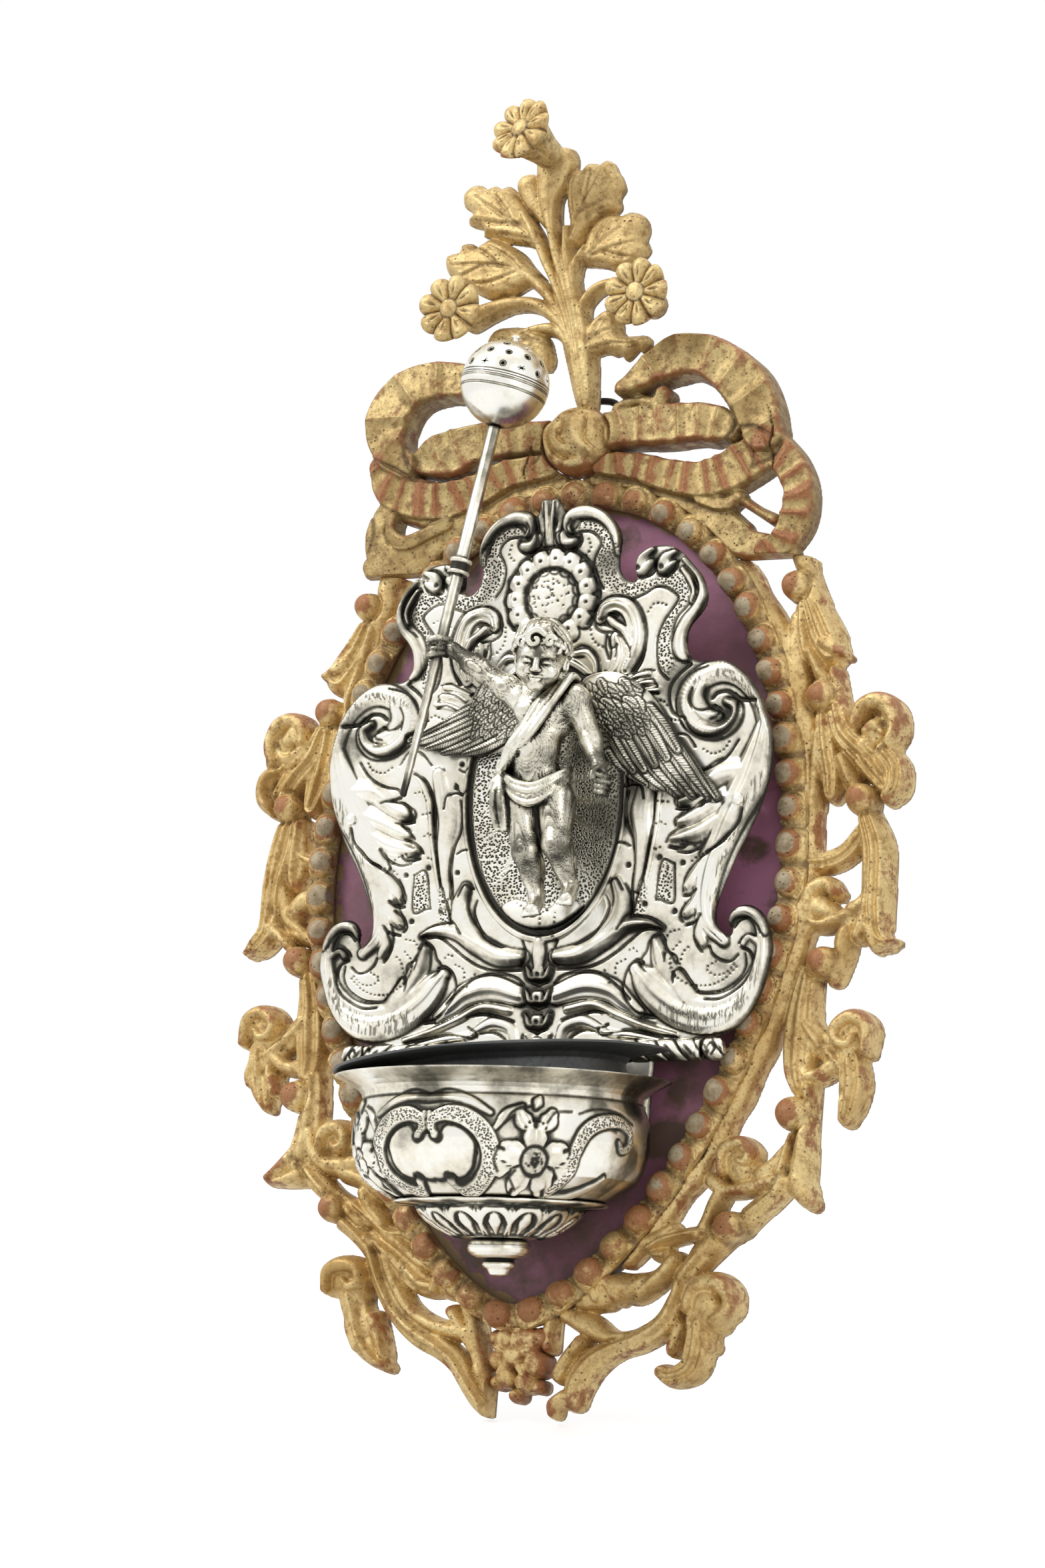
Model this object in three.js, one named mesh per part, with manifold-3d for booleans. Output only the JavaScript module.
// Holy water font: a carved, gilded and painted wooden plaque that carries a chased silver
// plate, a cast cherub, a bulging basin with a lift-out liner and a sprinkler in the
// cherub's hand. Millimetres, +Z up, front towards -Y. The origin is on the flat back of
// the board, at the middle of its oval.
import * as THREE from "three";
import { mergeVertices } from "three/addons/utils/BufferGeometryUtils.js";
import Module from "manifold-3d";

const wasm = await Module();
wasm.setup();

// Clearances
const gap = 0.3;
const overrun = 4;
const far = 900;

// Painted board and its ring of beads
const panelHalf = 100;
const panelRise = 158;
const panelDrop = 168;
const boardThick = 10;
const beadRadius = 5.7;
const beadInset = 4;
const beadCount = 46;
const borderThick = 4;
const borderLip = 2.2;
const ovalBluntUp = 2.1;
const ovalBluntDown = 1.55;

// Carving round the board: its reach over and under the oval, and its depth
const knotReach = 34;
const footReach = 40;
const carvingThick = 15;
const ballRadius = 6.8;
const voluteDepth = 19;
const bowBack = 7;
const bowFront = 22;
const knotFront = 37;
const knotHalf = 16;
const knotRise = 14.5;

// Crest of leaves and flowers, which leans forward on its dowel
const crestRise = 100;
const crestBack = 11;
const crestThick = 10;
const crestLean = THREE.MathUtils.degToRad(5);
const flowerRadius = 14.5;
const flowerDepth = 15;
const topFlowerDepth = 24;
const flowerLobes = 8;
const dowelRadius = 2.6;
const dowelLength = 26;

// Iron ring and its eye
const ringRadius = 11;
const ringWire = 1.5;
const eyeRadius = 3.2;
const eyeWire = 1.1;
const ringDepth = 4.2;

// Silver plate and how it stands on the board
const plateThick = 2;
const reliefRise = 3;
const plateStand = 21;
const plateDrop = 73;
const plateShift = 2;
const plateSkew = 2.4;
const plateLean = THREE.MathUtils.degToRad(4);
const plateTwist = THREE.MathUtils.degToRad(-1.8);
const blockHalf = 22;
const blockRise = 34;
const nailRadius = 2.6;
const nailShank = 1.1;

// Gadrooned moulding over the basin
const mouldingHalf = 83;
const mouldingRise = 9;
const mouldingDepth = 6;

// Basin, foot, finial and liner
const rimRadius = 66;
const bowlDepth = 47;
const bowlWall = 1.6;
const basinOut = 25;
const footRadius = 33;
const footDepth = 14;
const knopRadius = 12.5;
const knopDepth = 6;
const finialDepth = 8;
const linerOverhang = 1;
const linerClearance = 5.18;
const linerFloorRoom = 11;
const linerWall = 1.1;
const linerBack = 12;
const linerTilt = THREE.MathUtils.degToRad(-4.6);
const screwRadius = 1.8;
const screwHead = 3.6;
const screwSpread = 28;

// Cherub
const figureHeight = 113;
const figureShift = 6;
const figureOut = 17;
const wingThick = 2.2;
const studRadius = 2;
const nutRadius = 4.6;
const nutThick = 3;

// Sprinkler
const sprinklerBall = 17.4;
const sprinklerWall = 1;
const sprinklerLength = 176;
const rodRadius = 2.7;
const rodTip = 1.8;
const gripShare = 0.355;
const gripReach = 38;
const gripOut = 18;
const gripClearance = 0.25;
const holeRadius = 1.3;
const holesPerRow = 7;
const ballSides = 20;
const sprinklerSwing = THREE.MathUtils.degToRad(11.2);
const sprinklerBackLean = THREE.MathUtils.degToRad(-4.6);

// Sizes that follow from the ones above
const carvingRise = panelRise + panelDrop + footReach + knotReach;
const footDrop = panelDrop + footReach;
const boardGrow = beadInset + beadRadius + borderLip;
const crestFoot = panelRise + knotReach + knotRise / 2;
const plateHalf = panelHalf;
const bowlNeckShare = 0.83;
const linerRadius = rimRadius + linerOverhang;
const linerBody = rimRadius * bowlNeckShare - bowlWall - linerClearance;
const linerDepth = bowlDepth - linerFloorRoom;
const gripAlong = sprinklerLength * gripShare;
const gripHeight = plateHalf * 1.14 + figureHeight * 0.46;

// Finishes: colour, roughness, metalness
const gilding = [0xc9a153, 0.42, 0.75];
const paint = [0x6b4456, 0.7, 0];
const rawWood = [0x8a6a42, 0.8, 0];
const silver = [0xd9d8cf, 0.25, 1];
const darkSilver = [0x8e8d86, 0.35, 1];
const tarnished = [0x3c3e3e, 0.45, 0.9];
const iron = [0x2b2724, 0.6, 0.9];
const spongeStuff = [0xb9a468, 0.95, 0];

// Booleans on closed meshes
function toSolid(geometry) {
  const bare = geometry.clone();
  bare.deleteAttribute("normal");
  bare.deleteAttribute("uv");
  const merged = mergeVertices(bare, gap / 100);
  const vertProperties = new Float32Array(merged.attributes.position.array);
  const corners = Array.from(merged.index.array);
  const kept = corners.filter((_, i) => {
    const [a, b, c] = corners.slice(i - (i % 3), i - (i % 3) + 3);
    return a !== b && b !== c && c !== a;
  });
  const triVerts = new Uint32Array(kept);
  return new wasm.Manifold(new wasm.Mesh({ numProp: 3, vertProperties, triVerts }));
}

function toGeometry(solid) {
  const mesh = solid.getMesh();
  const geometry = new THREE.BufferGeometry();
  geometry.setAttribute("position", new THREE.BufferAttribute(mesh.vertProperties, 3));
  geometry.setIndex(new THREE.BufferAttribute(mesh.triVerts, 1));
  return geometry;
}

function join(geometries) {
  return geometries.map(toSolid).reduce((whole, next) => whole.add(next));
}

function cut(solid, geometries) {
  return geometries.map(toSolid).reduce((rest, next) => rest.subtract(next), solid);
}

function piece(name, shape, finish) {
  const geometry = toGeometry(shape.isBufferGeometry ? toSolid(shape) : shape);
  const [color, roughness, metalness] = finish;
  const mesh = new THREE.Mesh(
    geometry,
    new THREE.MeshStandardMaterial({ color, roughness, metalness }),
  );
  mesh.name = name;
  return mesh;
}

// A flat shape drawn in X and Z, thickened from `back` to `front` millimetres before the wall
function slab(shape, back, front, curveSegments = 4) {
  const geometry = new THREE.ExtrudeGeometry(shape, {
    depth: front - back,
    bevelEnabled: false,
    curveSegments,
  });
  geometry.rotateX(Math.PI / 2);
  geometry.translate(0, -back, 0);
  return geometry;
}

function blob(x, y, z, rx, ry, rz, around = 10, up = 7) {
  const geometry = new THREE.SphereGeometry(1, around, up);
  geometry.scale(rx, rz, ry);
  geometry.rotateX(Math.PI / 2);
  geometry.translate(x, y, z);
  return geometry;
}

// A round bar from one point to another, with domed ends of two radii
function limb(from, to, fromRadius, toRadius, sides = 8) {
  const start = new THREE.Vector3(...from);
  const along = new THREE.Vector3(...to).sub(start);
  const length = along.length();
  const rows = [
    [0, -fromRadius],
    [fromRadius * Math.SQRT1_2, -fromRadius * Math.SQRT1_2],
    [fromRadius, 0],
    [toRadius, length],
    [toRadius * Math.SQRT1_2, length + toRadius * Math.SQRT1_2],
    [0, length + toRadius],
  ];
  const geometry = new THREE.LatheGeometry(rows.map(([r, y]) => new THREE.Vector2(r, y)), sides);
  const turn = new THREE.Quaternion();
  turn.setFromUnitVectors(new THREE.Vector3(0, 1, 0), along.normalize());
  geometry.applyQuaternion(turn);
  return geometry.translate(start.x, start.y, start.z);
}

// A stroke of the carver's gouge: rows of [x, z, half width] joined by a smooth line
function strokeShape(points, halves, stepsEach = 2) {
  const spine = new THREE.SplineCurve(points);
  const count = (points.length - 1) * stepsEach;
  const capSteps = 2;
  const left = [];
  const right = [];
  const rim = (t, turn) => {
    const at = spine.getPoint(t);
    const along = spine.getTangent(t);
    const row = Math.min(Math.floor(t * (points.length - 1)), points.length - 2);
    const part = t * (points.length - 1) - row;
    const half = halves[row] * (1 - part) + halves[row + 1] * part;
    const angle = Math.atan2(along.y, along.x) + turn;
    return new THREE.Vector2(at.x + Math.cos(angle) * half, at.y + Math.sin(angle) * half);
  };
  for (let i = 0; i <= count; i += 1) {
    left.push(rim(i / count, Math.PI / 2));
    right.push(rim(i / count, -Math.PI / 2));
  }
  const endCap = [];
  const startCap = [];
  for (let i = 1; i < capSteps; i += 1) {
    endCap.push(rim(1, Math.PI / 2 - (Math.PI * i) / capSteps));
    startCap.push(rim(0, -Math.PI / 2 - (Math.PI * i) / capSteps));
  }
  return new THREE.Shape([...left, ...endCap, ...right.reverse(), ...startCap]);
}

function smoothShape(points, stepsEach = 2) {
  const loop = new THREE.CatmullRomCurve3(
    points.map((p) => new THREE.Vector3(p.x, p.y, 0)), true, "centripetal");
  const dense = loop.getPoints(points.length * stepsEach);
  dense.pop();
  return new THREE.Shape(dense.map((p) => new THREE.Vector2(p.x, p.y)));
}

// The oval of the board, grown outwards by `grow`: blunt above and pointed below
class OvalCurve extends THREE.Curve {
  constructor(grow) {
    super();
    this.grow = grow;
  }

  getPoint(t, target = new THREE.Vector2()) {
    const angle = t * Math.PI * 2;
    const c = Math.cos(angle);
    const s = Math.sin(angle);
    const power = 2 / (s > 0 ? ovalBluntUp : ovalBluntDown);
    const half = panelHalf + this.grow;
    const tall = (s > 0 ? panelRise : panelDrop) + this.grow;
    const x = Math.sign(c) * Math.abs(c) ** power * half;
    const z = Math.sign(s) * Math.abs(s) ** power * tall;
    return target.set(x, z);
  }
}

function ovalShape(grow, count) {
  const points = new OvalCurve(grow).getSpacedPoints(count);
  points.pop();
  return new THREE.Shape(points);
}

const ovalSteps = 52;
const boardCutter = () =>
  slab(ovalShape(boardGrow + gap, ovalSteps), -overrun, plateStand + overrun);

// Ring of beads, glued on the board round the painted oval
function beadBorder() {
  const ring = ovalShape(boardGrow, ovalSteps);
  ring.holes.push(new THREE.Path(ovalShape(0, ovalSteps).getPoints()));
  const back = boardThick + gap;
  const front = back + borderThick;
  const places = new OvalCurve(beadInset).getSpacedPoints(beadCount);
  places.pop();
  const beads = places.map((p) =>
    blob(p.x, -front, p.y, beadRadius, beadRadius, beadRadius, 7, 4));
  const low = new THREE.BoxGeometry(far, far, far);
  low.translate(0, far / 2 - back, 0);
  return cut(join([slab(ring, back, front), ...beads]), [low]);
}

// Places in the carving, as shares of its half width and of its height over the feet
const spot = (side, xShare, zShare) =>
  new THREE.Vector2(side * xShare * panelHalf, zShare * carvingRise - footDrop);

function carvedStroke(side, rows, back, front, placed = spot, unit = panelHalf) {
  const points = rows.map(([x, z]) => placed(side, x, z));
  const halves = rows.map((row) => row[2] * unit);
  return slab(strokeShape(points, halves, rows.length > 3 ? 2 : 1), back, front);
}

// One side garland, for the right-hand side: strands and leaves, volutes and balls
const leafShares = [
  [[0.93, 0.852, 0.06], [0.98, 0.826, 0.05], [1.01, 0.79, 0.08], [1.045, 0.76, 0.095]],
  [[1.07, 0.77, 0.05], [1.16, 0.748, 0.02]],
  [[0.95, 0.81, 0.05], [0.95, 0.765, 0.05]],
  [[1.07, 0.75, 0.05], [1.1, 0.73, 0.045], [1.11, 0.7, 0.05]],
  [[1.12, 0.7, 0.05], [1.09, 0.66, 0.06], [1.06, 0.615, 0.05]],
  [[1.13, 0.7, 0.05], [1.13, 0.655, 0.055], [1.18, 0.615, 0.045]],
  [[1.14, 0.69, 0.05], [1.2, 0.653, 0.065], [1.29, 0.633, 0.07], [1.37, 0.625, 0.085]],
  [[1.14, 0.69, 0.05], [1.22, 0.665, 0.055], [1.33, 0.662, 0.06]],
  [[1.29, 0.6, 0.05], [1.28, 0.565, 0.08], [1.305, 0.53, 0.075], [1.31, 0.495, 0.07],
    [1.35, 0.472, 0.06], [1.41, 0.453, 0.03]],
  [[1.31, 0.49, 0.05], [1.27, 0.468, 0.035]],
  [[1.24, 0.575, 0.045], [1.18, 0.558, 0.035], [1.06, 0.55, 0.045]],
  [[1.06, 0.5, 0.06], [1.14, 0.5, 0.09], [1.27, 0.478, 0.05]],
  [[1.27, 0.478, 0.045], [1.21, 0.46, 0.045], [1.17, 0.445, 0.05]],
  [[1.16, 0.435, 0.055], [1.11, 0.4, 0.068], [1.095, 0.37, 0.075], [1.09, 0.335, 0.06]],
  [[1.08, 0.345, 0.06], [1.17, 0.352, 0.06], [1.27, 0.357, 0.06], [1.31, 0.37, 0.06]],
  [[1.32, 0.357, 0.055], [1.31, 0.32, 0.065], [1.26, 0.29, 0.04], [1.25, 0.284, 0.02]],
  [[1.1, 0.335, 0.05], [1.115, 0.31, 0.05], [1.11, 0.29, 0.05], [1.07, 0.265, 0.078],
    [1.09, 0.238, 0.09], [1.1, 0.22, 0.09]],
  [[1.14, 0.235, 0.06], [1.215, 0.213, 0.035]],
  [[1.05, 0.25, 0.07], [0.95, 0.232, 0.06], [0.88, 0.235, 0.06]],
  [[1.04, 0.222, 0.055], [0.96, 0.205, 0.05], [0.88, 0.19, 0.055]],
  [[0.84, 0.23, 0.06], [0.76, 0.208, 0.06], [0.72, 0.182, 0.055], [0.62, 0.162, 0.05]],
  [[0.85, 0.18, 0.055], [0.74, 0.157, 0.065], [0.66, 0.13, 0.06], [0.62, 0.107, 0.05],
    [0.55, 0.083, 0.05], [0.42, 0.062, 0.055], [0.3, 0.042, 0.065], [0.21, 0.022, 0.065],
    [0.185, 0.006, 0.05]],
  [[0.66, 0.13, 0.055], [0.55, 0.122, 0.05], [0.44, 0.12, 0.055], [0.33, 0.115, 0.06]],
  [[0.3, 0.1, 0.07], [0.25, 0.075, 0.05], [0.21, 0.05, 0.05]],
  [[0.4, 0.1, 0.05], [0.32, 0.085, 0.04], [0.26, 0.07, 0.04]],
  [[0.69, 0.14, 0.06], [0.73, 0.115, 0.07], [0.78, 0.105, 0.08]],
  [[0.76, 0.095, 0.075], [0.72, 0.065, 0.07], [0.66, 0.045, 0.05], [0.6, 0.033, 0.03]],
  [[0.66, 0.155, 0.05], [0.52, 0.163, 0.045], [0.45, 0.172, 0.05]],
];
const voluteShares = [
  [1.325, 0.683, 0.1], [1.15, 0.5, 0.09], [1.31, 0.373, 0.095], [0.9, 0.245, 0.1],
  [0.8, 0.114, 0.1], [0.31, 0.115, 0.085], [1.38, 0.623, 0.085],
];
const ballShares = [
  [0.985, 0.828], [1.115, 0.711], [1.285, 0.604], [1.17, 0.444], [1.115, 0.305], [0.87, 0.187],
];
const seamShare = 0.853;
const pendantHalfShare = 0.135;

function aboveSeam() {
  const box = new THREE.BoxGeometry(far, far, far);
  box.translate(0, 0, seamShare * carvingRise - footDrop + far / 2 - gap / 2);
  return box;
}

function belowSeam() {
  const box = new THREE.BoxGeometry(far, far, far);
  box.translate(0, 0, seamShare * carvingRise - footDrop - far / 2 + gap / 2);
  return box;
}

function garland(side) {
  const strands = leafShares.map((rows) => carvedStroke(side, rows, 0, carvingThick));
  const volutes = voluteShares.map(([x, z, r]) => {
    const at = spot(side, x, z);
    return blob(at.x, -carvingThick / 2, at.y, r * panelHalf, voluteDepth / 2,
      r * panelHalf, 8, 4);
  });
  const balls = ballShares.map(([x, z]) => {
    const at = spot(side, x, z);
    return blob(at.x, -carvingThick / 2, at.y, ballRadius, carvingThick / 2 + gap,
      ballRadius, 7, 4);
  });
  const middle = new THREE.BoxGeometry(
    (pendantHalfShare * panelHalf + gap) * 2, far, far);
  const wall = new THREE.BoxGeometry(far, far, far);
  wall.translate(0, far / 2, 0);
  return cut(join([...strands, ...volutes, ...balls]),
    [boardCutter(), aboveSeam(), middle, wall]);
}

// Ribbon bow over the panel: bands as [x, z, half width], with the back and front they span
const bowLeftShares = [
  [[[-0.22, 1.005, 0.07], [-0.42, 1.045, 0.08], [-0.6, 1.058, 0.085], [-0.8, 1.062, 0.09],
    [-0.94, 1.04, 0.1], [-0.955, 1.003, 0.095], [-0.88, 0.97, 0.08], [-0.76, 0.965, 0.06]], 1],
  [[[-0.86, 0.972, 0.05], [-0.74, 0.98, 0.09], [-0.6, 0.99, 0.095], [-0.4, 0.997, 0.085],
    [-0.16, 0.99, 0.08]], 0.75],
  [[[-0.14, 0.958, 0.06], [-0.4, 0.947, 0.08], [-0.6, 0.933, 0.085], [-0.8, 0.938, 0.09],
    [-0.93, 0.96, 0.06]], 0.9],
  [[[-0.9, 0.945, 0.075], [-0.97, 0.91, 0.065], [-0.965, 0.88, 0.07], [-0.9, 0.856, 0.07]], 0.8],
  [[[-0.9, 0.87, 0.06], [-0.76, 0.868, 0.075], [-0.64, 0.9, 0.06]], 0.7],
];
const bowRightShares = [
  [[[0.14, 1.015, 0.06], [0.2, 1.038, 0.06], [0.33, 1.052, 0.085], [0.46, 1.053, 0.09],
    [0.62, 1.035, 0.09], [0.72, 1.01, 0.09], [0.78, 0.975, 0.09]], 1],
  [[[0.06, 1.0, 0.07], [0.35, 0.998, 0.085], [0.55, 0.998, 0.08], [0.74, 0.985, 0.08]], 0.75],
  [[[0.06, 0.965, 0.06], [0.4, 0.948, 0.085], [0.58, 0.938, 0.08], [0.74, 0.955, 0.085],
    [0.88, 0.962, 0.08]], 0.9],
  [[[0.84, 0.975, 0.08], [0.93, 0.945, 0.07], [0.975, 0.915, 0.065], [0.97, 0.88, 0.065],
    [0.91, 0.856, 0.07]], 0.8],
  [[[0.62, 0.91, 0.05], [0.71, 0.88, 0.07], [0.84, 0.868, 0.07], [0.93, 0.865, 0.06]], 0.7],
  [[[0.68, 0.92, 0.03], [0.85, 0.892, 0.03]], 0.6],
];
const knotShares = [-0.05, 0.9875];
const knotEdgeShare = 0.16;
const boardEdgeShare = 1.119;

// A place in the bow, measured between the edge of the knot and that of the board
function bowSpot(side, xShare, zShare) {
  const reach = (panelHalf + boardGrow - knotHalf) / (boardEdgeShare - knotEdgeShare);
  const x = Math.sign(xShare) * (knotHalf + (Math.abs(xShare) - knotEdgeShare) * reach);
  return spot(side, x / panelHalf, zShare);
}

function knotBlob(grow) {
  const at = spot(1, ...knotShares);
  const middle = (knotFront + bowBack) / 2;
  const deep = (knotFront - bowBack) / 2;
  return blob(at.x, -middle, at.y, knotHalf + grow, deep + grow, knotRise + grow, 16, 10);
}

const bandRiseShare = 0.25;

function bowHalf(rowsList) {
  const bandUnit = Math.max(panelHalf, carvingRise * bandRiseShare);
  const bands = rowsList.map(([rows, share]) =>
    carvedStroke(1, rows, bowBack, bowBack + (bowFront - bowBack) * share, bowSpot, bandUnit));
  return cut(join(bands), [boardCutter(), belowSeam(), knotBlob(gap)]);
}

// Iron ring behind the knot, standing in its eye
const eyeHeight = crestFoot - ringRadius - ringWire * 2;
const eyeSlot = () => {
  const slot = new THREE.BoxGeometry(
    (eyeWire + gap) * 2, (eyeRadius + eyeWire + gap) * 2, (eyeRadius + eyeWire + gap) * 2);
  slot.translate(0, -ringDepth - eyeRadius, eyeHeight);
  return slot;
};
const ringSlot = () => {
  const slot = new THREE.BoxGeometry(
    (ringRadius + ringWire + gap) * 2 + overrun, (ringDepth + ringWire + gap) * 2, far);
  slot.translate(0, 0, eyeHeight + far / 2 - ringWire * 2 - eyeRadius);
  return slot;
};

function hangerEye() {
  const loop = new THREE.TorusGeometry(eyeRadius, eyeWire, 8, 16);
  loop.rotateY(Math.PI / 2);
  loop.translate(0, -ringDepth, eyeHeight);
  const shank = new THREE.CylinderGeometry(eyeWire, eyeWire, eyeRadius, 8);
  shank.translate(0, -ringDepth - eyeRadius * 1.5, eyeHeight);
  return join([loop, shank]);
}

function hangingRing() {
  const ring = new THREE.TorusGeometry(ringRadius, ringWire, 8, 28);
  ring.rotateX(Math.PI / 2);
  ring.translate(0, -ringDepth, eyeHeight + ringRadius);
  return ring;
}

// Crest: stems and leaves, drawn from its foot on the knot
const stemShares = [
  [[-0.02, 0.0, 0.055], [-0.045, 0.2, 0.075], [-0.09, 0.36, 0.085], [-0.12, 0.5, 0.06]],
  [[-0.12, 0.42, 0.055], [-0.17, 0.7, 0.05], [-0.19, 0.95, 0.055], [-0.18, 1.08, 0.085]],
  [[-0.11, 0.4, 0.05], [-0.24, 0.62, 0.05], [-0.4, 0.75, 0.05]],
  [[-0.12, 0.5, 0.04], [-0.27, 0.75, 0.045], [-0.36, 0.88, 0.05]],
  [[-0.1, 0.34, 0.045], [-0.25, 0.48, 0.035], [-0.45, 0.495, 0.04], [-0.58, 0.46, 0.05]],
  [[-0.07, 0.22, 0.045], [-0.2, 0.34, 0.05], [-0.32, 0.37, 0.06]],
  [[-0.1, 0.55, 0.04], [-0.1, 0.7, 0.04], [-0.08, 0.85, 0.05]],
  [[-0.08, 0.45, 0.045], [-0.05, 0.58, 0.04], [0.02, 0.7, 0.05]],
  [[-0.06, 0.38, 0.04], [0.0, 0.52, 0.045], [0.1, 0.55, 0.04], [0.22, 0.46, 0.05]],
  [[-0.03, 0.2, 0.045], [0.03, 0.32, 0.05], [0.1, 0.34, 0.06]],
];
const crestLeafShares = [
  [[-0.22, 0.74], [-0.3, 0.86], [-0.38, 0.98], [-0.48, 1.03], [-0.6, 1.035], [-0.65, 0.99],
    [-0.62, 0.91], [-0.55, 0.84], [-0.42, 0.77]],
  [[-0.28, 0.64], [-0.36, 0.74], [-0.46, 0.77], [-0.6, 0.79], [-0.71, 0.75], [-0.72, 0.69],
    [-0.63, 0.61], [-0.52, 0.54], [-0.36, 0.54]],
  [[-0.16, 0.3], [-0.23, 0.4], [-0.34, 0.41], [-0.46, 0.37], [-0.5, 0.3], [-0.42, 0.25],
    [-0.22, 0.23]],
  [[-0.13, 0.8], [-0.16, 0.98], [-0.12, 1.06], [0.0, 1.09], [0.07, 1.06], [0.11, 0.96],
    [0.08, 0.85], [-0.02, 0.77]],
  [[-0.07, 0.62], [-0.05, 0.77], [0.05, 0.85], [0.16, 0.86], [0.23, 0.81], [0.22, 0.68],
    [0.14, 0.6], [0.02, 0.62]],
  [[-0.05, 0.24], [-0.04, 0.38], [0.06, 0.43], [0.18, 0.4], [0.26, 0.31], [0.2, 0.23],
    [0.08, 0.24]],
];
const flowerShares = { left: [-0.59, 0.44], right: [0.27, 0.44], top: [-0.2, 1.09] };
const crestSpot = ([x, z]) => new THREE.Vector2(x * crestRise, z * crestRise);

function crestLeaves() {
  const stems = stemShares.map((rows) => {
    const halves = rows.map((row) => row[2] * crestRise);
    return slab(strokeShape(rows.map(crestSpot), halves), 0, crestThick);
  });
  const leaves = crestLeafShares.map((rows, i) => {
    const backShare = 0.08 + (i % 3) * 0.04;
    return slab(smoothShape(rows.map(crestSpot)), crestThick * backShare,
      crestThick * (1 - backShare));
  });
  return join([...stems, ...leaves]);
}

// Flower head: a lobed face on a cup that narrows to its neck
const neckShare = 0.45;

function flowerHead(depth) {
  const lobed = [];
  const steps = flowerLobes * 4;
  const notchShare = 0.1;
  for (let i = 0; i < steps; i += 1) {
    const angle = (i / steps) * Math.PI * 2;
    const dent = notchShare * (1 - Math.abs(Math.sin((angle * flowerLobes) / 2)));
    const radius = flowerRadius * (1 - dent);
    lobed.push(new THREE.Vector2(Math.cos(angle) * radius, Math.sin(angle) * radius));
  }
  const faceShare = 0.4;
  const face = slab(new THREE.Shape(lobed), depth - flowerRadius * faceShare, depth);
  const cup = new THREE.CylinderGeometry(
    flowerRadius * (1 - notchShare), flowerRadius * neckShare, depth, 14);
  cup.rotateX(Math.PI);
  cup.translate(0, -depth / 2, 0);
  return join([face, cup]);
}

const dowelPin = (grow) => {
  const pin = new THREE.CylinderGeometry(
    dowelRadius + grow, dowelRadius + grow, dowelLength + grow * 2, 12);
  pin.rotateX(Math.PI / 2);
  pin.translate(stemShares[0][0][0] * crestRise, -crestThick / 2, 0);
  return pin;
};

const crest = new THREE.Group();
crest.position.set(0, -crestBack, crestFoot);
crest.rotation.x = crestLean;
crest.updateMatrixWorld(true);

function buildCrest() {
  const knotLocal = knotBlob(gap).applyMatrix4(crest.matrixWorld.clone().invert());
  const slotLocal = ringSlot().applyMatrix4(crest.matrixWorld.clone().invert());
  crest.add(piece("bouquet", cut(crestLeaves(), [dowelPin(gap), knotLocal, slotLocal]), gilding));
  crest.add(piece("bouquet_dowel", dowelPin(0), rawWood));
  const sides = [["flower_left", "left", flowerDepth, 0, 0],
    ["flower_right", "right", flowerDepth, 0, 0],
    ["flower_top", "top", topFlowerDepth, 0.3, 0.2]];
  for (const [name, key, depth, up, turn] of sides) {
    const at = crestSpot(flowerShares[key]);
    const flower = piece(name, flowerHead(depth), gilding);
    flower.rotation.set(-up, 0, -turn);
    const tiltSine = Math.sqrt(1 - (Math.cos(up) * Math.cos(turn)) ** 2);
    flower.position.set(at.x, -crestThick - gap - flowerRadius * neckShare * tiltSine, at.y);
    crest.add(flower);
  }
}

// Flower and berries under the panel
function pendant() {
  const clusterShares = [
    [0, 0.058, 0.07], [-0.07, 0.055, 0.06], [0.07, 0.055, 0.06], [-0.06, 0.03, 0.065],
    [0.06, 0.032, 0.068], [0, 0.03, 0.07], [-0.03, 0.016, 0.045], [0.05, 0.014, 0.045],
  ];
  const lumps = clusterShares.map(([x, z, r]) => {
    const at = spot(1, x, z);
    return blob(at.x, -carvingThick / 2, at.y, r * panelHalf, voluteDepth / 2,
      r * panelHalf, 8, 5);
  });
  const wall = new THREE.BoxGeometry(far, far, far);
  wall.translate(0, far / 2, 0);
  return cut(join(lumps), [boardCutter(), wall]);
}

// Silver plate: half of its outline, from the crest down to the tongue behind the basin
const plateHalfShares = [
  [0.055, 2.34], [0.045, 2.3], [0.07, 2.22], [0.15, 2.29], [0.24, 2.28], [0.31, 2.22],
  [0.335, 2.13], [0.305, 2.07], [0.3, 1.99], [0.34, 1.945], [0.385, 1.95], [0.39, 2.03],
  [0.43, 2.08], [0.5, 2.095], [0.58, 2.06], [0.64, 1.99], [0.69, 1.9], [0.69, 1.84],
  [0.63, 1.76], [0.605, 1.68], [0.62, 1.6], [0.7, 1.585], [0.78, 1.575], [0.87, 1.51],
  [0.95, 1.39], [0.99, 1.22], [0.985, 1.05], [0.94, 0.9], [0.87, 0.76], [0.8, 0.64],
  [0.765, 0.54], [0.775, 0.46], [0.81, 0.46], [0.84, 0.53], [0.89, 0.58], [0.95, 0.55],
  [0.99, 0.47], [1.0, 0.37], [0.98, 0.25], [0.93, 0.15], [0.85, 0.08], [0.74, 0.04],
  [0.56, 0.03], [0.54, -0.1], [0.5, -0.42],
];
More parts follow.
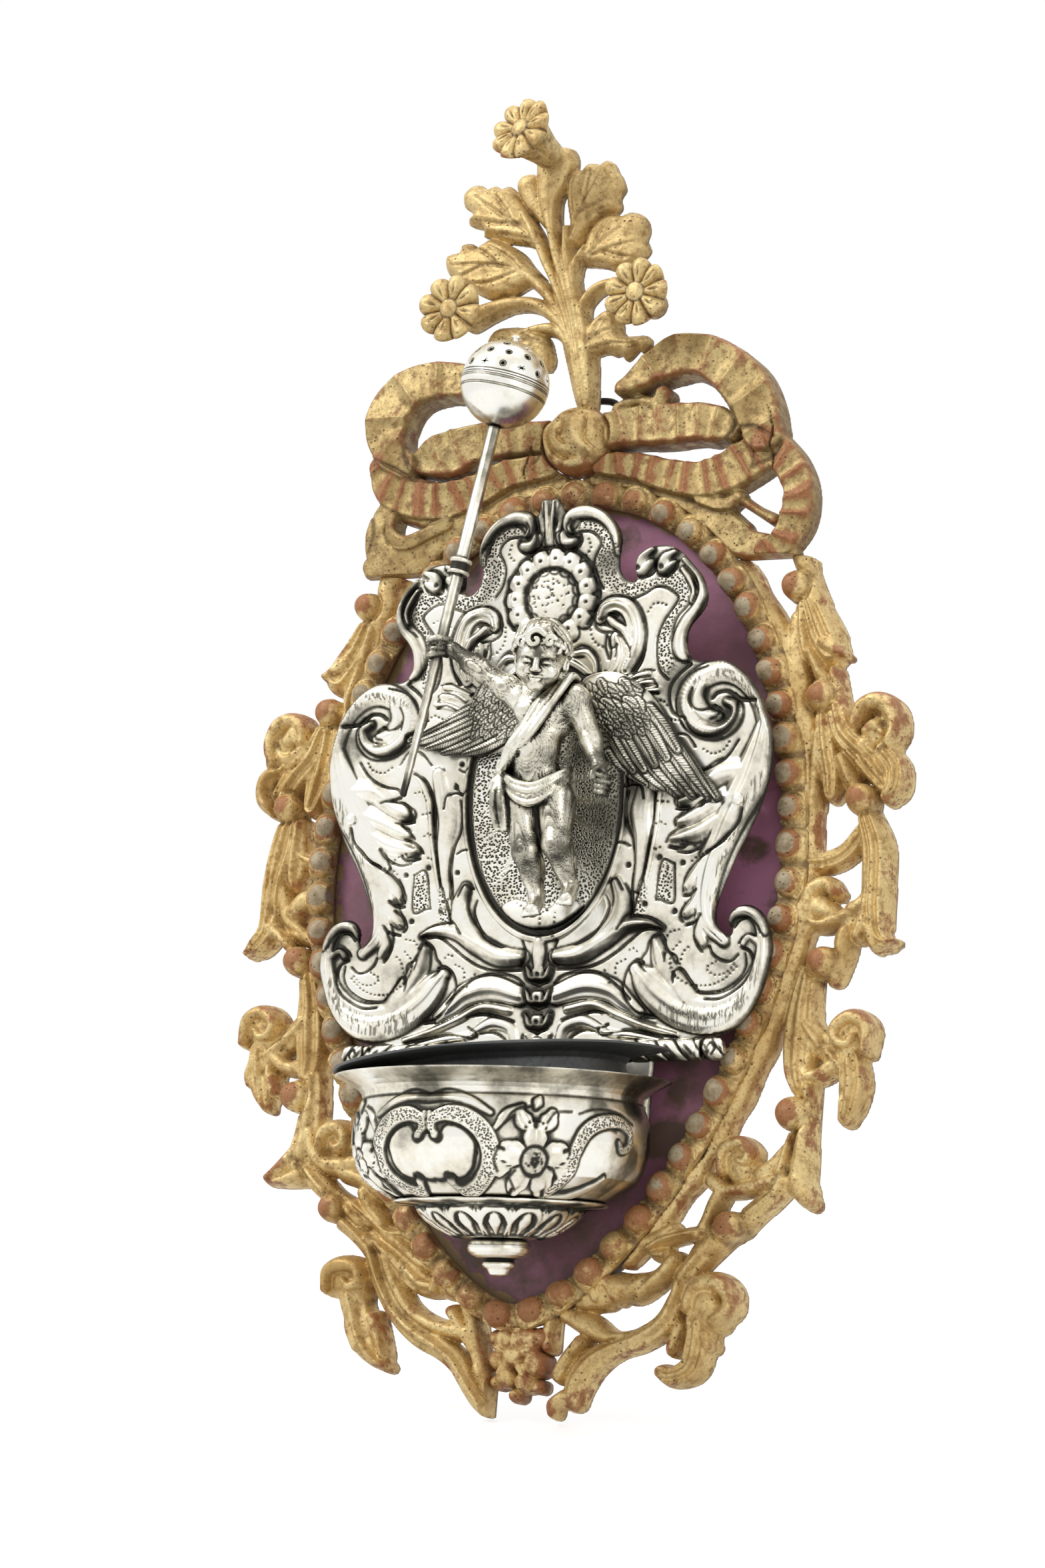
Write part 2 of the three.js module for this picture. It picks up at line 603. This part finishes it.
const scrollShares = [
  [[0.1, 2.16, 0.04], [0.17, 2.23, 0.04], [0.27, 2.2, 0.045], [0.29, 2.1, 0.04],
    [0.25, 1.98, 0.04], [0.3, 1.86, 0.05], [0.45, 1.88, 0.05]],
  [[0.44, 2.0, 0.04], [0.52, 2.05, 0.04], [0.62, 1.93, 0.05], [0.6, 1.83, 0.04],
    [0.55, 1.7, 0.045], [0.53, 1.58, 0.05]],
  [[0.66, 1.38, 0.06], [0.62, 1.49, 0.06], [0.74, 1.52, 0.05], [0.88, 1.42, 0.06],
    [0.93, 1.22, 0.06], [0.92, 1.02, 0.08], [0.84, 0.82, 0.08], [0.74, 0.62, 0.06],
    [0.7, 0.5, 0.05]],
  [[0.86, 0.52, 0.035], [0.92, 0.5, 0.04], [0.95, 0.38, 0.045], [0.93, 0.25, 0.05],
    [0.83, 0.17, 0.055], [0.66, 0.155, 0.06], [0.5, 0.18, 0.055], [0.38, 0.28, 0.04]],
];
const medallionShares = [0, 1.07, 0.34, 0.53, 0.045];
const roundelShares = [0, 1.92, 0.12, 0.13, 0.03];
const nailSpotShares = [0.86, 1.0];
const studSpotShares = [0.05, 1.2];
const platePoint = ([x, z]) => new THREE.Vector2(x * plateHalf, z * plateHalf);

function ovalRing(shares, back, front) {
  const [x, z, rx, rz, width] = shares.map((share) => share * plateHalf);
  const ring = new THREE.Shape();
  ring.absellipse(x, z, rx + width, rz + width, 0, Math.PI * 2, false);
  const inner = new THREE.Path();
  inner.absellipse(x, z, rx, rz, 0, Math.PI * 2, true);
  ring.holes.push(inner);
  return slab(ring, back, front, 16);
}

// Pins along Y: nails, screws and the stud, with the board's depth they reach
const boardReach = (z) => plateStand + z * Math.sin(plateLean) - boardThick / 2;

function pin(x, z, radius, front, back, sides = 12) {
  const bar = new THREE.CylinderGeometry(radius, radius, front + back, sides);
  return bar.translate(x, (back - front) / 2, z);
}

const [nailOut, nailZ] = nailSpotShares.map((share) => share * plateHalf);
const nailSpots = [plateSkew - nailOut, plateSkew + nailOut];
const [studX, studZ] = studSpotShares.map((share) => share * plateHalf);
const screwZ = -bowlDepth * 0.66;

function pinHoles() {
  const clear = plateStand * 2;
  return [
    ...nailSpots.map((x) => pin(x, nailZ, nailShank + gap, clear, boardReach(nailZ) + gap)),
    pin(studX, studZ, studRadius + gap, clear, far),
    pin(studX, studZ, nutRadius * 1.25, -boardReach(studZ), far),
    pin(screwSpread, screwZ, screwRadius + gap, clear, boardReach(screwZ) + gap),
    pin(-screwSpread, screwZ, screwRadius + gap, clear, boardReach(screwZ) + gap),
  ];
}

function backPlate() {
  const right = plateHalfShares.map(platePoint);
  const left = right.map((p) => new THREE.Vector2(-p.x, p.y)).reverse();
  const outline = new THREE.Shape([...right, ...left]);
  const reliefs = scrollShares.flatMap((rows) => [1, -1].map((side) => {
    const points = rows.map(([x, z]) => platePoint([side * x, z]));
    const halves = rows.map((row) => row[2] * plateHalf);
    return slab(strokeShape(points, halves, 1), plateThick / 2, plateThick + reliefRise);
  }));
  const rings = [medallionShares, roundelShares].map((shares) =>
    ovalRing(shares, plateThick / 2, plateThick + reliefRise / 2));
  const chased = join([slab(outline, 0, plateThick), ...reliefs, ...rings]);
  return cut(chased.translate(plateSkew, 0, 0), pinHoles());
}

// Moulding over the basin: a bar with rolled ends, its front rounded
function moulding() {
  const bar = new THREE.CylinderGeometry(
    mouldingRise / 2, mouldingRise / 2, mouldingHalf * 2 - mouldingRise, 10);
  bar.rotateZ(Math.PI / 2);
  const ends = [1, -1].map((side) =>
    blob(side * (mouldingHalf - mouldingRise / 2), 0, 0, mouldingRise * 0.62,
      mouldingRise * 0.62, mouldingRise * 0.62, 12, 8));
  return cut(join([bar, ...ends]), [behind(0)]);
}

// Half-round vessels: a turned profile of [radius, height] shares, cut off flat at the back
function turned(rows, segments = 32) {
  const points = rows.map(([r, z]) => new THREE.Vector2(Math.max(r, 0), z));
  const geometry = new THREE.LatheGeometry(points, segments);
  geometry.rotateX(Math.PI / 2);
  geometry.translate(0, -basinOut, 0);
  return geometry;
}

function behind(depth) {
  const box = new THREE.BoxGeometry(far, far, far);
  box.translate(0, far / 2 - depth, 0);
  return box;
}

const bowlProfileShares = [
  [0, -1], [0.62, -1], [0.74, -0.9], [0.83, -0.76], [0.868, -0.55], [0.87, -0.4],
  [0.84, -0.24], [bowlNeckShare, -0.17], [0.87, -0.1], [0.95, -0.04], [1, -0.01], [1, 0], [0, 0],
];
const rimLipShare = 0.04;
const rimHeight = -plateHalf * 0.1;
const plateFace = plateThick + gap;

function bowl() {
  const outer = bowlProfileShares.map(([r, z]) => [r * rimRadius, z * bowlDepth]);
  const inner = bowlProfileShares.slice(0, -3).map(([r, z]) => [
    r === 0 ? 0 : r * rimRadius - bowlWall, z === -1 ? z * bowlDepth + bowlWall : z * bowlDepth]);
  inner.push([rimRadius * (1 - rimLipShare), overrun], [0, overrun]);
  const hollow = cut(toSolid(turned(inner)), [behind(plateFace + bowlWall)]);
  const shell = cut(toSolid(turned(outer)), [behind(plateFace)]);
  const holes = pinHoles().map((hole) => hole.translate(0, 0, -rimHeight));
  return cut(shell.subtract(hollow), holes);
}

const footProfileShares = [
  [0, -1], [0.4, -1], [0.62, -0.82], [0.86, -0.5], [0.97, -0.2], [1.0, -0.12],
  [1.26, -0.1], [1.28, 0], [0, 0],
];
const finialProfileShares = [
  [0, -2.2], [0.3, -2.1], [0.36, -1.8], [0.52, -1.55], [0.45, -1.25], [0.7, -1.1],
  [1, -0.72], [1, -0.4], [0.86, 0], [0, 0],
];

function basinFoot() {
  const rows = footProfileShares.map(([r, z]) => [r * footRadius, z * footDepth]);
  return cut(toSolid(turned(rows, 24)), [behind(plateFace)]);
}

function basinFinial() {
  const tall = (knopDepth + finialDepth) / 2.2;
  return turned(finialProfileShares.map(([r, z]) => [r * knopRadius, z * tall]), 16);
}

const linerProfileShares = [
  [0, -1], [0.86, -1], [0.98, -0.88], [1, -0.7], [1, -0.12], [1.04, -0.06],
];

function liner() {
  const outer = linerProfileShares.map(([r, z]) => [r * linerBody, z * linerDepth]);
  outer.push([linerRadius, -linerWall], [linerRadius, 0], [0, 0]);
  const inner = linerProfileShares.map(([r, z]) => [
    r === 0 ? 0 : r * linerBody - linerWall, z === -1 ? z * linerDepth + linerWall : z * linerDepth]);
  inner.push([linerRadius * 0.985, 0], [linerRadius * 0.985, overrun], [0, overrun]);
  const hollow = cut(toSolid(turned(inner)), [behind(linerBack + linerWall)]);
  return cut(toSolid(turned(outer)), [behind(linerBack)]).subtract(hollow);
}

function screw(x) {
  const face = plateFace + bowlWall + gap;
  const head = pin(x, screwZ, screwHead, face + screwRadius, -face);
  return join([head, pin(x, screwZ, screwRadius, face + gap, boardReach(screwZ), 10)]);
}

function nail(x) {
  const face = plateThick + reliefRise + gap;
  const head = blob(x, -face, nailZ, nailRadius, nailRadius * 0.6, nailRadius, 10, 6);
  const cap = cut(toSolid(head), [behind(face)]);
  return cap.add(toSolid(pin(x, nailZ, nailShank, face + gap, boardReach(nailZ), 8)));
}

function stud() {
  return toSolid(pin(studX, studZ, studRadius, figureOut, boardReach(studZ) + nutThick + gap * 3));
}

function nut() {
  const hex = new THREE.Shape();
  const sides = 6;
  for (let i = 0; i < sides; i += 1) {
    const angle = (i / sides) * Math.PI * 2;
    const x = studX + Math.cos(angle) * nutRadius;
    const z = studZ + Math.sin(angle) * nutRadius;
    hex[i ? "lineTo" : "moveTo"](x, z);
  }
  const bore = new THREE.Path();
  bore.absarc(studX, studZ, studRadius + gap, 0, Math.PI * 2, true);
  hex.holes.push(bore);
  const seat = boardReach(studZ) + gap;
  return toSolid(slab(hex, -seat - nutThick, -seat, 6));
}

// Cherub: places as shares of its height, over the soles of its feet
const figureLift = plateHalf * 0.61;
const at = (x, y, z) => [
  figureShift + x * figureHeight,
  -figureOut - y * figureHeight,
  figureLift + z * figureHeight,
];
const part = (share) => share * figureHeight;

const limbShares = [
  [[0.03, 0.045, 0.82], [0.025, 0.02, 0.76], 0.045, 0.06],
  [[-0.06, 0, 0.39], [-0.055, 0.045, 0.22], 0.078, 0.05],
  [[-0.055, 0.045, 0.22], [0, 0, 0.075], 0.05, 0.028],
  [[0, 0, 0.07], [0.012, 0.06, 0.02], 0.03, 0.026],
  [[0.07, 0, 0.39], [0.095, 0.05, 0.23], 0.078, 0.05],
  [[0.095, 0.05, 0.23], [0.12, 0.005, 0.095], 0.05, 0.028],
  [[0.12, 0.005, 0.085], [0.155, 0.07, 0.045], 0.03, 0.026],
];
const bodyLumpShares = [
  [[0.035, 0.075, 0.895], 0.095, 0.105, 0.112],
  [[0.035, 0, 0.71], 0.115, 0.075, 0.095],
  [[0, 0.01, 0.58], 0.105, 0.085, 0.12],
  [[0, 0, 0.44], 0.12, 0.085, 0.085],
];

function cherubBody(grow) {
  const lumps = bodyLumpShares.map(([place, rx, ry, rz]) =>
    blob(...at(...place), part(rx) + grow, part(ry) + grow, part(rz) + grow, 10, 7));
  const limbs = limbShares.map(([from, to, thick, thin]) =>
    limb(at(...from), at(...to), part(thick) + grow, part(thin) + grow));
  return join([...lumps, ...limbs]);
}

// Sprinkler: its own frame has the rod on Z, with the cherub's fist at the origin
const sprinkler = new THREE.Group();
sprinkler.position.set(-gripReach, -gripOut, gripHeight);
sprinkler.rotation.set(sprinklerBackLean, sprinklerSwing, 0, "YXZ");
sprinkler.updateMatrix();

function gripHole() {
  const radius = rodRadius + gripClearance;
  const hole = new THREE.CylinderGeometry(radius, radius, gripAlong, 20);
  hole.rotateX(Math.PI / 2);
  return hole.applyMatrix4(sprinkler.matrix);
}

function rightArm() {
  const shoulder = at(-0.06, 0.01, 0.75);
  const hand = sprinkler.position.toArray();
  const elbow = shoulder.map((v, i) => v * 0.5 + hand[i] * 0.5 + (i === 2 ? part(0.015) : 0));
  const wrist = [hand[0] + rodRadius * 2.2, hand[1], hand[2] - rodRadius * 0.4];
  return join([
    limb(shoulder, elbow, part(0.05), part(0.036)),
    limb(elbow, wrist, part(0.036), part(0.028)),
    blob(...hand, rodRadius * 2.1, rodRadius * 2.1, rodRadius * 1.7, 12, 7),
  ]);
}

function leftArm() {
  const elbow = at(0.205, 0, 0.585);
  return join([
    limb(at(0.15, 0, 0.72), elbow, part(0.047), part(0.038)),
    limb(elbow, at(0.26, 0.05, 0.475), part(0.036), part(0.026)),
    blob(...at(0.275, 0.06, 0.435), part(0.032), part(0.034), part(0.045), 10, 7),
  ]);
}

const wingRightShares = [
  [0.1, 0.74], [0.14, 0.81], [0.24, 0.82], [0.34, 0.78], [0.42, 0.7], [0.5, 0.58],
  [0.67, 0.36], [0.66, 0.33], [0.56, 0.35], [0.42, 0.4], [0.3, 0.46], [0.2, 0.58],
];
const wingLeftShares = [
  [-0.04, 0.72], [-0.14, 0.81], [-0.25, 0.82], [-0.33, 0.74], [-0.42, 0.68], [-0.56, 0.62],
  [-0.55, 0.59], [-0.42, 0.555], [-0.3, 0.55], [-0.14, 0.57],
];
const wingBack = plateThick + reliefRise + gap;

const figurePoint = ([x, z]) =>
  new THREE.Vector2(figureShift + part(x), figureLift + part(z));

// Each wing is riveted to the plate on a round foot
const wingFootShares = { left: [-0.12, 0.7], right: [0.1, 0.72] };

function wing(shares, footShares) {
  const shape = smoothShape(shares.map(figurePoint));
  const foot = figurePoint(footShares);
  return join([
    slab(shape, wingBack, wingBack + wingThick),
    pin(foot.x, foot.y, studRadius * 2, wingBack + gap, -plateFace),
  ]);
}

function sashTail() {
  const rows = [[-0.11, 0.46, 0.03], [-0.125, 0.38, 0.036], [-0.1, 0.29, 0.03]];
  const front = figureOut + part(0.075);
  const shape = strokeShape(rows.map(figurePoint), rows.map((row) => part(row[2])));
  return toSolid(slab(shape, front - part(0.03), front));
}

function cherubPieces() {
  const hole = pin(studX, studZ, studRadius + gap, figureOut + gap, far);
  const grown = cherubBody(gap);
  return [
    piece("cherub_body", cut(cherubBody(0), [hole]), darkSilver),
    piece("cherub_right_arm", cut(rightArm().subtract(grown), [gripHole()]), darkSilver),
    piece("cherub_left_arm", leftArm().subtract(grown), darkSilver),
    piece("wing_right", wing(wingRightShares, wingFootShares.right).subtract(grown), silver),
    piece("wing_left", wing(wingLeftShares, wingFootShares.left).subtract(grown), silver),
    piece("sash_tail", sashTail().subtract(grown), silver),
  ];
}

// Rod and ball of the sprinkler
const ballHeight = sprinklerLength - gripAlong;
const collarHeightShare = 0.55;
const collarShares = [
  [1.25, -1], [1.7, -0.85], [1.7, -0.5], [1.4, -0.35], [1.4, 0.35], [1.7, 0.5],
  [1.7, 0.85], [1.25, 1],
];

function spun(rows, segments) {
  const geometry = new THREE.LatheGeometry(rows.map(([r, z]) => new THREE.Vector2(r, z)), segments);
  return geometry.rotateX(Math.PI / 2);
}

function rod() {
  const collarAt = sprinklerLength * collarHeightShare - gripAlong;
  const top = ballHeight - sprinklerBall + sprinklerWall / 2;
  const lower = spun([[0, -gripAlong], [rodTip, -gripAlong], [rodRadius * 0.97, 0],
    [rodRadius, rodRadius], [rodRadius, collarAt], [0, collarAt]], 12);
  const upper = spun([[0, collarAt], [rodRadius * 1.25, collarAt], [rodRadius, top], [0, top]], 8);
  return cut(join([lower, upper]), [toGeometry(collarSolid(gap))]);
}

// The collar clasps the rod: its bore is open and the rod is waisted under it
function collarSolid(grow) {
  const collarAt = sprinklerLength * collarHeightShare - gripAlong;
  const half = rodRadius * 1.3;
  const bore = rodRadius * 0.8 - grow;
  const rows = collarShares.map(([r, z]) => [r * rodRadius + grow, z * (half + grow)]);
  const ring = [[bore, -half - grow], ...rows, [bore, half + grow], [bore, -half - grow]];
  const geometry = spun(ring, 16);
  geometry.translate(0, 0, collarAt);
  return toSolid(geometry);
}

function shellRows(from, to, steps) {
  const outer = [];
  const inner = [];
  for (let i = 0; i <= steps; i += 1) {
    const angle = from + ((to - from) * i) / steps;
    const innerBall = sprinklerBall - sprinklerWall;
    outer.push([Math.cos(angle) * sprinklerBall, Math.sin(angle) * sprinklerBall]);
    inner.push([Math.cos(angle) * innerBall, Math.sin(angle) * innerBall]);
  }
  return [outer, inner];
}

const seamAngle = gap / sprinklerBall / 2;

function ballCup() {
  const low = Math.acos(rodRadius / sprinklerBall);
  const [outer, inner] = shellRows(-low, -seamAngle, 6);
  const floor = [[0, outer[0][1]], ...outer, ...inner.slice(1).reverse(),
    [0, outer[0][1] + sprinklerWall]];
  const cup = spun(floor, ballSides);
  cup.translate(0, 0, ballHeight);
  return toSolid(cup);
}

function ballCap() {
  const top = Math.PI / 2;
  const [outer, inner] = shellRows(seamAngle, top, 6);
  const rows = [...outer.map(([r, z]) => [Math.max(r, 0), z]), ...inner.reverse()];
  rows[outer.length - 1][0] = 0;
  rows[outer.length][0] = 0;
  rows.push(rows[0]);
  const cap = spun(rows, ballSides);
  cap.translate(0, 0, ballHeight);
  const holes = [];
  const rowAngles = [0.42, 0.82];
  rowAngles.forEach((tilt, row) => {
    for (let i = 0; i < holesPerRow; i += 1) {
      const hole = new THREE.CylinderGeometry(holeRadius, holeRadius, overrun, 5);
      hole.rotateZ(-Math.PI / 2);
      hole.translate(sprinklerBall, 0, 0);
      hole.rotateY(-tilt);
      hole.rotateZ(((i + row / 2) / holesPerRow) * Math.PI * 2);
      hole.translate(0, 0, ballHeight);
      holes.push(hole);
    }
  });
  return cut(toSolid(cap), holes);
}

function capKnob() {
  const knob = spun([[0, 0], [1, 0], [1, 0.5], [1.5, 1], [1.5, 1.4], [0, 1.8]]
    .map(([r, z]) => [r * holeRadius, z * holeRadius]), 10);
  return knob.translate(0, 0, ballHeight + sprinklerBall + gap);
}

function sponge() {
  const radius = sprinklerBall - sprinklerWall - gap * 3;
  const lump = blob(0, 0, ballHeight, radius, radius, radius, 14, 9);
  const floor = new THREE.BoxGeometry(far, far, far);
  const rodTop = ballHeight - sprinklerBall + sprinklerWall * 2 + gap;
  floor.translate(0, 0, rodTop - far / 2);
  return cut(toSolid(lump), [floor]);
}

function sprinklerPieces() {
  const cup = ballCup();
  return [
    piece("sprinkler_rod", rod().subtract(cupGrown()), silver),
    piece("sprinkler_collar", collarSolid(0), silver),
    piece("sprinkler_cup", cup, silver),
    piece("sprinkler_cap", ballCap(), silver),
    piece("sprinkler_knob", capKnob(), silver),
    piece("sprinkler_sponge", sponge(), spongeStuff),
  ];
}

function cupGrown() {
  const radius = sprinklerBall + gap;
  return toSolid(blob(0, 0, ballHeight, radius, radius, radius, ballSides, ballSides));
}

// Silver assembly, which stands on the board with its top leaning out
const silverware = new THREE.Group();
silverware.position.set(plateShift, -plateStand, -plateDrop);
silverware.rotation.set(plateLean, plateTwist, 0, "YXZ");
silverware.updateMatrixWorld(true);

function raised(name, shape, finish, height) {
  const mesh = piece(name, shape, finish);
  mesh.position.z = height;
  return mesh;
}

// Wooden block that fills the space between the board and the upper half of the plate
function spacerBlock() {
  const block = new THREE.BoxGeometry(blockHalf * 2, far, blockRise);
  block.translate(studX, far / 2 + gap, studZ);
  const board = new THREE.BoxGeometry(far * 2, far * 2, far * 2);
  board.translate(0, far - boardThick - gap, 0);
  board.applyMatrix4(silverware.matrixWorld.clone().invert());
  return cut(toSolid(block), [board, pin(studX, studZ, studRadius + gap, far, far)]);
}

function fillSilverware() {
  const bar = raised("gadroon_moulding", moulding(), silver, mouldingRise * 0.33);
  bar.position.y = -plateThick - gap;
  bar.scale.y = mouldingDepth / (mouldingRise / 2);
  const dish = raised("basin_liner", liner(), tarnished,
    rimHeight + gap * 2 + linerWall - linerRadius * Math.sin(linerTilt));
  dish.rotation.y = linerTilt;
  silverware.add(
    piece("back_plate", backPlate(), silver),
    piece("plate_block", spacerBlock(), rawWood),
    piece("plate_nail_left", nail(nailSpots[0]), silver),
    piece("plate_nail_right", nail(nailSpots[1]), silver),
    bar,
    raised("basin_bowl", bowl(), silver, rimHeight),
    raised("basin_foot", basinFoot(), silver, rimHeight - bowlDepth - gap),
    raised("basin_finial", basinFinial(), silver, rimHeight - bowlDepth - footDepth - gap * 2),
    dish,
    piece("basin_screw_left", screw(-screwSpread), iron),
    piece("basin_screw_right", screw(screwSpread), iron),
    piece("cherub_stud", stud(), iron),
    piece("stud_nut", nut(), iron),
    ...cherubPieces(),
  );
  sprinkler.add(...sprinklerPieces());
  silverware.add(sprinkler);
}

function backBoard() {
  const board = toSolid(slab(ovalShape(boardGrow, ovalSteps), 0, boardThick));
  return cut(board, pinHoles().map((hole) => hole.applyMatrix4(silverware.matrixWorld)));
}

// The knot is notched behind for the ring and its eye, and bored for the crest's dowel
function bowKnot() {
  const dowelHole = dowelPin(gap).applyMatrix4(crest.matrixWorld);
  return cut(toSolid(knotBlob(0)), [boardCutter(), eyeSlot(), ringSlot(), dowelHole]);
}

buildCrest();
fillSilverware();

const font = new THREE.Group();
font.name = "holy_water_font";
font.add(
  piece("back_panel", backBoard(), paint),
  piece("bead_border", beadBorder(), gilding),
  piece("garland_left", garland(-1), gilding),
  piece("garland_right", garland(1), gilding),
  piece("pendant", pendant(), gilding),
  piece("bow_left", bowHalf(bowLeftShares), gilding),
  piece("bow_right", bowHalf(bowRightShares), gilding),
  piece("bow_knot", bowKnot(), gilding),
  piece("hanger_eye", hangerEye(), iron),
  piece("hanging_ring", hangingRing(), iron),
  crest,
  silverware,
);

export default font;
